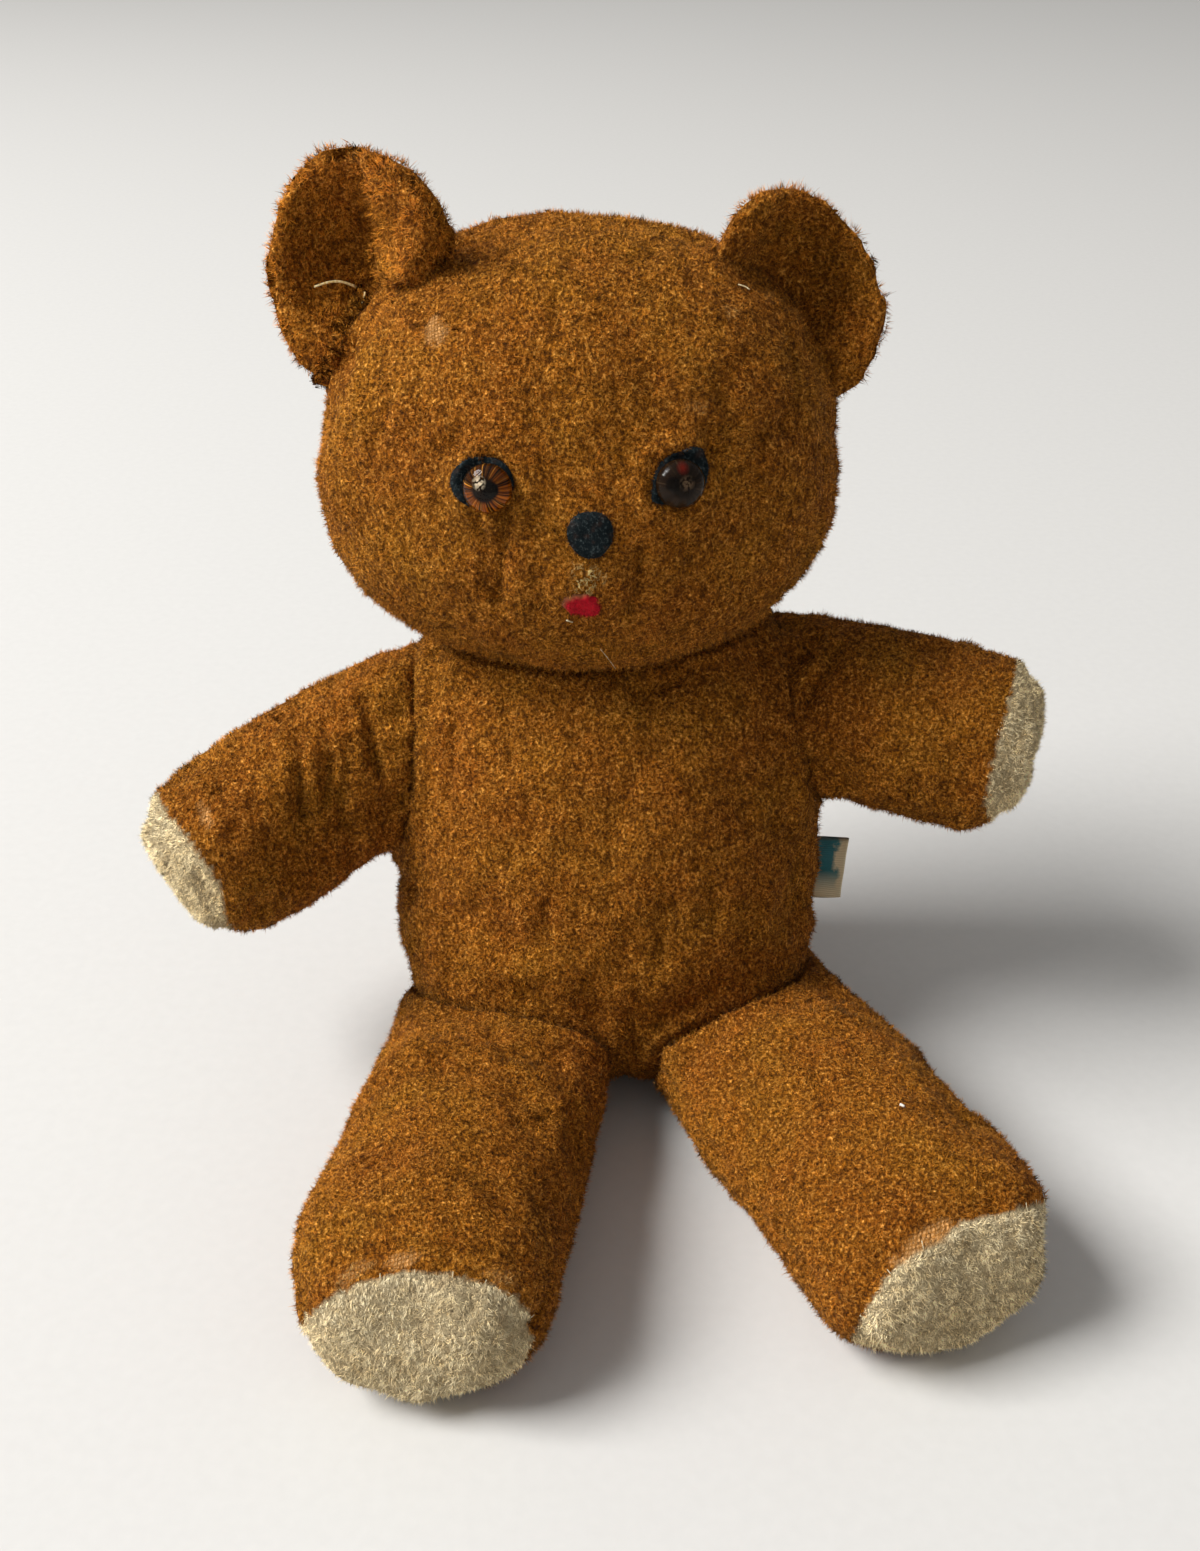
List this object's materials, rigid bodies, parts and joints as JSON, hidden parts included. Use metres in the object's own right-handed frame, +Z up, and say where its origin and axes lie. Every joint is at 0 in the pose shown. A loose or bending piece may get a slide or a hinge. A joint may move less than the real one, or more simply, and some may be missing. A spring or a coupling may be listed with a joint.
{
  "type": "teddy bear",
  "caption": "Seated plush teddy bear with worn brown pile, cream paw and foot pads, domed eyes, a felt nose and a torn felt mouth.",
  "frame": {"origin": "under the middle of the bear's outline, on the surface that it sits on", "axes": "+Z up, the face towards -Y, the bear's left towards +X"},
  "size_m": [0.279, 0.2384, 0.2867],
  "materials": {
    "brown_plush": "short matted pile, worn",
    "cream_plush": "short felted pile, soiled",
    "black_felt": "fuzzy felt",
    "red_felt": "torn felt",
    "stuffing": "loose fibre",
    "label_tape": "woven tape",
    "amber_plastic": "moulded, with a foil face",
    "clear_plastic": "clear, scratched",
    "white_plastic": "moulded"
  },
  "bodies": {
    "root": {"head_face_panel": "brown_plush", "head_back_panel": "brown_plush", "head_stuffing": "stuffing", "left_ear_front": "brown_plush", "left_ear_back": "brown_plush", "right_ear_front": "brown_plush", "right_ear_back": "brown_plush", "left_eye_felt": "black_felt", "left_eye_button": "amber_plastic", "left_eye_lens": "clear_plastic", "left_eye_washer": "white_plastic", "right_eye_felt": "black_felt", "right_eye_button": "amber_plastic", "right_eye_lens": "clear_plastic", "right_eye_washer": "white_plastic", "nose_felt": "black_felt", "mouth_felt": "red_felt", "torso_belly_panel": "brown_plush", "torso_back_panel": "brown_plush", "torso_stuffing": "stuffing", "left_arm_cover": "brown_plush", "left_arm_stuffing": "stuffing", "left_hand_pad": "cream_plush", "right_arm_cover": "brown_plush", "right_arm_stuffing": "stuffing", "right_hand_pad": "cream_plush", "left_leg_top_panel": "brown_plush", "left_leg_under_panel": "brown_plush", "left_leg_stuffing": "stuffing", "left_foot_pad": "cream_plush", "right_leg_top_panel": "brown_plush", "right_leg_under_panel": "brown_plush", "right_leg_stuffing": "stuffing", "right_foot_pad": "cream_plush", "side_label": "label_tape"}
  },
  "joints": []
}
